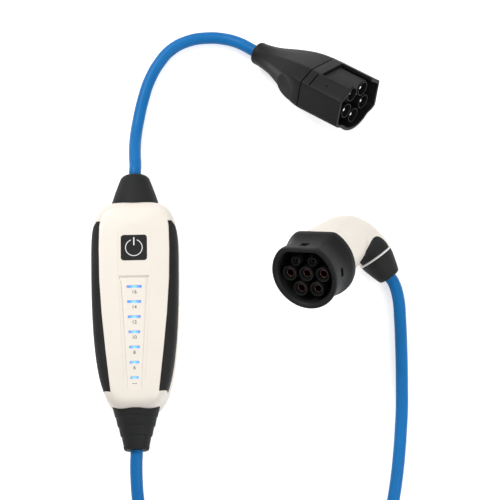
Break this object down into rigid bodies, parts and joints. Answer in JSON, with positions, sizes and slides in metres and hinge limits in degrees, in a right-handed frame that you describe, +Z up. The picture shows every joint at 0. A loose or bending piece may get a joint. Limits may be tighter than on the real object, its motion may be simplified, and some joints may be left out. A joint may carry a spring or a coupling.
{
  "type": "portable ev charger",
  "caption": "Portable electric vehicle charger: tapered control box with grips and light windows, a supply lead with a five-pin connector and a charging cable with an angled vehicle connector.",
  "frame": {"origin": "under the middle of the control box with its two strain reliefs, on the surface that it lies on", "axes": "+Z up out of the box's face, +Y along the box towards the supply lead, +X to the right of the face"},
  "size_m": [0.3186, 0.7018, 0.1323],
  "materials": {
    "cream_plastic": "satin moulded plastic",
    "black_rubber": "matt soft-touch rubber",
    "black_plastic": "finely textured moulded plastic",
    "badge_gloss": "gloss",
    "light_guide_blue": "clear diffusing plastic, lit blue",
    "cable_blue": "smooth cable jacket",
    "board_green": "printed circuit board",
    "component_grey": "moulded component case",
    "steel": "bright",
    "contact_copper": "copper alloy",
    "pin_metal": "plated",
    "ring_silver": "pale gloss ring"
  },
  "bodies": {
    "root": {"back_shell": "cream_plastic", "badge_plate": "badge_gloss", "charging_cable_box_side": "cable_blue", "charging_cable_coil": "cable_blue", "charging_cable_plug_side": "cable_blue", "charging_terminals": "black_plastic", "coil_strap_1": "black_rubber", "coil_strap_2": "black_rubber", "contact_carrier": "black_plastic", "contact_earth": "contact_copper", "contact_line_1": "contact_copper", "contact_line_2": "contact_copper", "contact_line_3": "contact_copper", "contact_neutral": "contact_copper", "contact_pilot": "contact_copper", "contact_proximity": "contact_copper", "current_sensor": "component_grey", "front_shell": "cream_plastic", "grip_tongue": "black_rubber", "led_board": "board_green", "led_board_stand": "component_grey", "light_guide": "light_guide_blue", "lower_strain_relief": "black_rubber", "main_board": "board_green", "mains_relay_1": "component_grey", "mains_relay_2": "component_grey", "shell_screw_1": "steel", "shell_screw_2": "steel", "shell_screw_3": "steel", "shell_screw_4": "steel", "shell_seal_left": "black_rubber", "shell_seal_right": "black_rubber", "side_grip_left": "black_rubber", "side_grip_right": "black_rubber", "supply_handle": "black_plastic", "supply_hood": "black_plastic", "supply_insulator": "black_plastic", "supply_lead": "cable_blue", "supply_module": "component_grey", "supply_pin_1": "pin_metal", "supply_pin_2": "pin_metal", "supply_pin_3": "pin_metal", "supply_pin_4": "pin_metal", "supply_pin_5": "pin_metal", "supply_terminals": "black_plastic", "trim_ring": "ring_silver", "upper_strain_relief": "black_rubber", "vehicle_elbow": "cream_plastic", "vehicle_nose": "black_plastic", "vehicle_strain_relief": "black_rubber"}
  },
  "joints": []
}
